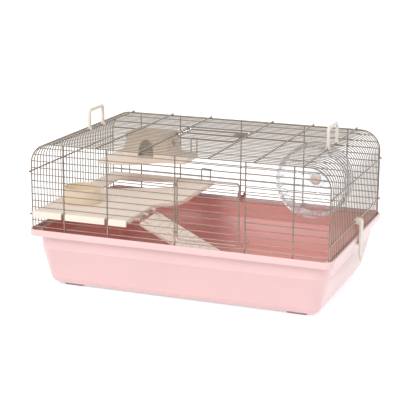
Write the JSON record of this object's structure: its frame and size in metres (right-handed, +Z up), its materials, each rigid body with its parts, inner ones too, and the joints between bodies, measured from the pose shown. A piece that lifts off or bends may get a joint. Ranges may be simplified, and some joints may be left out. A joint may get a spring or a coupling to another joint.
{
  "type": "hamster cage",
  "caption": "Small-animal cage: moulded tray, wire top with front and roof doors, side clips, handles, platform, ramp, shelf, house, bowl and running wheel.",
  "frame": {"origin": "on the ground under the middle of the tray, at the bottom centre of the bounding box", "axes": "+X along the cage to its right end, +Y to the back, +Z up; the front with its door faces -Y"},
  "size_m": [0.598, 0.375, 0.3162],
  "materials": {
    "tray_plastic": "soft sheen",
    "catch_plastic": "soft sheen",
    "coated_wire": "satin",
    "cream_plastic": "satin",
    "platform_plastic": "satin",
    "house_plastic": "satin",
    "bowl_plastic": "soft sheen",
    "clear_plastic": "clear"
  },
  "bodies": {
    "tray": {"tray": "tray_plastic", "tray_feet": "tray_plastic", "rear_rim_catch": "catch_plastic"},
    "wire_top": {"base_frame": "coated_wire", "left_end_wires": "coated_wire", "right_end_wires": "coated_wire", "roof_wires": "coated_wire", "front_corner_arch": "coated_wire", "rear_corner_arch": "coated_wire", "roof_crossbars": "coated_wire", "end_crossbars": "coated_wire", "front_rails": "coated_wire", "front_uprights": "coated_wire", "rear_rails": "coated_wire", "rear_uprights": "coated_wire", "roof_door_border": "coated_wire", "lower_platform": "platform_plastic", "platform_hooks": "coated_wire", "ramp_rod": "coated_wire", "upper_shelf": "platform_plastic", "shelf_hooks": "coated_wire", "wheel_axle": "cream_plastic", "wheel_hub_cap": "cream_plastic", "wheel_bracket": "cream_plastic"},
    "front_door": {"front_door_frame": "coated_wire", "front_door_rails": "coated_wire", "front_door_hinges": "coated_wire", "front_door_latch": "coated_wire"},
    "roof_door": {"roof_door_frame": "coated_wire", "roof_door_wires": "coated_wire", "roof_door_hinges": "coated_wire", "roof_door_latch": "coated_wire"},
    "left_handle": {"left_handle": "cream_plastic"},
    "right_handle": {"right_handle": "cream_plastic"},
    "left_clip": {"left_clip": "cream_plastic"},
    "right_clip": {"right_clip": "cream_plastic"},
    "ramp": {"ramp": "platform_plastic", "ramp_hooks": "coated_wire"},
    "house": {"house_walls": "house_plastic", "house_roof": "house_plastic"},
    "bowl": {"bowl": "bowl_plastic"},
    "wheel": {"wheel_rim": "clear_plastic", "wheel_back": "clear_plastic", "wheel_treads": "clear_plastic", "wheel_hub": "clear_plastic"}
  },
  "joints": [
    {"name": "wire_top_lift", "type": "slide", "parent": "tray", "child": "wire_top", "axis": [0, 0, 1], "range_m": [0, 0.15]},
    {"name": "left_clip_pivot", "type": "hinge", "parent": "wire_top", "child": "left_clip", "pos_m": [-0.2852, 0, 0.141], "axis": [0, 1, 0], "range_deg": [0, 40]},
    {"name": "right_clip_pivot", "type": "hinge", "parent": "wire_top", "child": "right_clip", "pos_m": [0.2852, 0, 0.141], "axis": [0, -1, 0], "range_deg": [0, 40]},
    {"name": "left_handle_pivot", "type": "hinge", "parent": "wire_top", "child": "left_handle", "pos_m": [-0.235, 0, 0.2762], "axis": [0, 1, 0], "range_deg": [-85, 85]},
    {"name": "right_handle_pivot", "type": "hinge", "parent": "wire_top", "child": "right_handle", "pos_m": [0.235, 0, 0.2762], "axis": [0, 1, 0], "range_deg": [-85, 85]},
    {"name": "front_door_swing", "type": "hinge", "parent": "wire_top", "child": "front_door", "pos_m": [0, -0.1777, 0.18], "axis": [0, 0, 1], "range_deg": [-115, 0]},
    {"name": "roof_door_swing", "type": "hinge", "parent": "wire_top", "child": "roof_door", "pos_m": [-0.065, 0.02369, 0.2762], "axis": [0, -1, 0], "range_deg": [0, 105]},
    {"name": "ramp_pivot", "type": "hinge", "parent": "wire_top", "child": "ramp", "pos_m": [-0.087, -0.102, 0.1395], "axis": [0, -1, 0], "range_deg": [0, 26]},
    {"name": "wheel_spin", "type": "hinge", "parent": "wire_top", "child": "wheel", "pos_m": [0.164, 0.145, 0.174], "axis": [0, 1, 0], "continuous": true},
    {"name": "bowl_lift", "type": "slide", "parent": "wire_top", "child": "bowl", "axis": [0, 0, 1], "range_m": [0, 0.06]},
    {"name": "house_lift", "type": "slide", "parent": "wire_top", "child": "house", "axis": [0, 0, 1], "range_m": [0, 0.02]}
  ]
}
